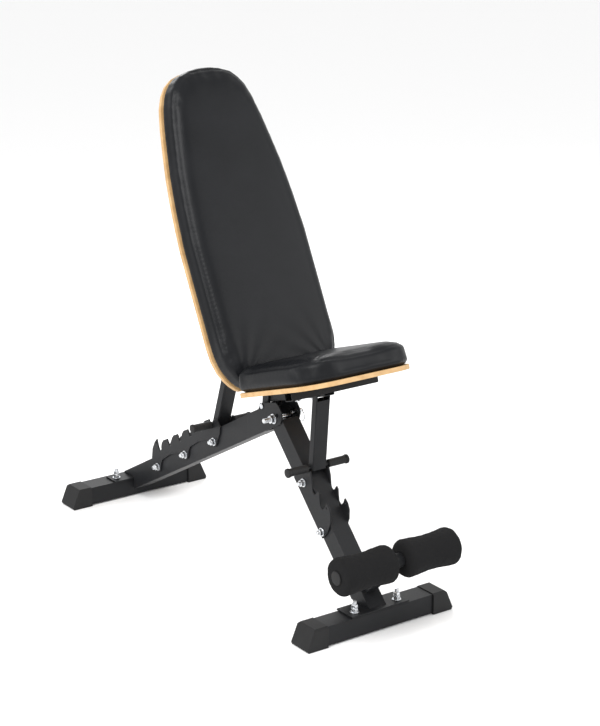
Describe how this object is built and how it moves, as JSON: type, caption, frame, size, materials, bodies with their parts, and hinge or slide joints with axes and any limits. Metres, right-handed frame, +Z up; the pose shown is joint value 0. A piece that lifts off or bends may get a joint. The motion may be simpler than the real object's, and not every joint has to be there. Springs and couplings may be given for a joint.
{
  "type": "adjustable weight bench",
  "caption": "Folding weight bench with notched ladders for seat and backrest angles, padded vinyl cushions, foam leg rollers and two wide floor feet.",
  "frame": {"origin": "centre of the bounding box at floor level, under the middle of the bench", "axes": "+Z up, +Y toward the rear foot and backrest, X across the bench"},
  "size_m": [0.428, 1.2444, 1.2295],
  "materials": {
    "frame_paint": "satin black powder coat",
    "zinc": "bright zinc plate",
    "black_rubber": "matte moulded",
    "vinyl": "smooth satin vinyl",
    "plywood": "bare sanded",
    "foam": "matte closed cell"
  },
  "bodies": {
    "frame": {"main_beam": "frame_paint", "pivot_gusset_right": "frame_paint", "pivot_gusset_left": "frame_paint", "leg_pivot_bolt": "zinc", "pad_hinge_pin": "zinc", "back_ladder_right": "frame_paint", "back_ladder_left": "frame_paint", "back_ladder_bolt_1": "zinc", "back_ladder_bolt_2": "zinc", "back_ladder_bolt_3": "zinc", "rear_foot_tube": "frame_paint", "rear_base_plate": "frame_paint", "rear_cap_left": "black_rubber", "rear_cap_right": "black_rubber", "rear_plate_bolt_left": "zinc", "rear_plate_bolt_right": "zinc"},
    "front_leg": {"front_leg_tube": "frame_paint", "front_foot_tube": "frame_paint", "front_base_plate": "frame_paint", "front_cap_left": "black_rubber", "front_cap_right": "black_rubber", "front_plate_bolt_left": "zinc", "front_plate_bolt_right": "zinc", "seat_ladder_right": "frame_paint", "seat_ladder_left": "frame_paint", "seat_ladder_bolt_1": "zinc", "seat_ladder_bolt_2": "zinc", "roller_arm": "frame_paint", "axle_cap_left": "black_rubber", "axle_cap_right": "black_rubber"},
    "pull_pin": {"lock_pin": "zinc", "pull_ring": "zinc"},
    "seat": {"seat_rail": "frame_paint", "seat_crossbar": "frame_paint", "seat_rail_bolt": "zinc", "seat_strut_pin": "frame_paint", "seat_board": "plywood", "seat_cushion": "vinyl", "seat_pad_bolt_1": "zinc", "seat_pad_bolt_2": "zinc"},
    "seat_prop": {"seat_strut": "frame_paint", "seat_grip_left": "black_rubber", "seat_grip_right": "black_rubber"},
    "back": {"back_tube": "frame_paint", "back_strut_pin": "frame_paint", "back_board": "plywood", "back_cushion": "vinyl", "back_pad_bolt_1": "zinc", "back_pad_bolt_2": "zinc"},
    "back_prop": {"back_strut": "frame_paint", "back_grip_left": "black_rubber", "back_grip_right": "black_rubber"},
    "left_roller": {"roller_left": "foam"},
    "right_roller": {"roller_right": "foam"}
  },
  "joints": [
    {"name": "leg_fold", "type": "hinge", "parent": "frame", "child": "front_leg", "pos_m": [0, -0.1282, 0.418], "axis": [-1, 0, 0], "range_deg": [-57, 0]},
    {"name": "lock_pin_slide", "type": "slide", "parent": "frame", "child": "pull_pin", "axis": [-1, 0, 0], "range_m": [-0.082, 0]},
    {"name": "seat_tilt", "type": "hinge", "parent": "frame", "child": "seat", "pos_m": [0, -0.0782, 0.437], "axis": [-1, 0, 0], "range_deg": [-19.2, 0]},
    {"name": "seat_prop_swing", "type": "hinge", "parent": "seat", "child": "seat_prop", "pos_m": [0, -0.28696, 0.52542], "axis": [-1, 0, 0], "range_deg": [0, 48.5]},
    {"name": "back_recline", "type": "hinge", "parent": "frame", "child": "back", "pos_m": [0, -0.0782, 0.437], "axis": [1, 0, 0], "range_deg": [-61, 0]},
    {"name": "back_prop_swing", "type": "hinge", "parent": "back", "child": "back_prop", "pos_m": [0, 0.03673, 0.65194], "axis": [1, 0, 0], "range_deg": [0, 87.5]},
    {"name": "left_roller_spin", "type": "hinge", "parent": "front_leg", "child": "left_roller", "pos_m": [0, -0.57618, 0.19307], "axis": [1, 0, 0], "continuous": true},
    {"name": "right_roller_spin", "type": "hinge", "parent": "front_leg", "child": "right_roller", "pos_m": [0, -0.57618, 0.19307], "axis": [1, 0, 0], "continuous": true}
  ],
  "couplings": [
    {"joint": "lock_pin_slide", "follows": "leg_fold", "m_per_rad": 0.08},
    {"joint": "seat_prop_swing", "follows": "seat_tilt", "ratio": -2.5},
    {"joint": "back_prop_swing", "follows": "back_recline", "ratio": -1.43}
  ]
}
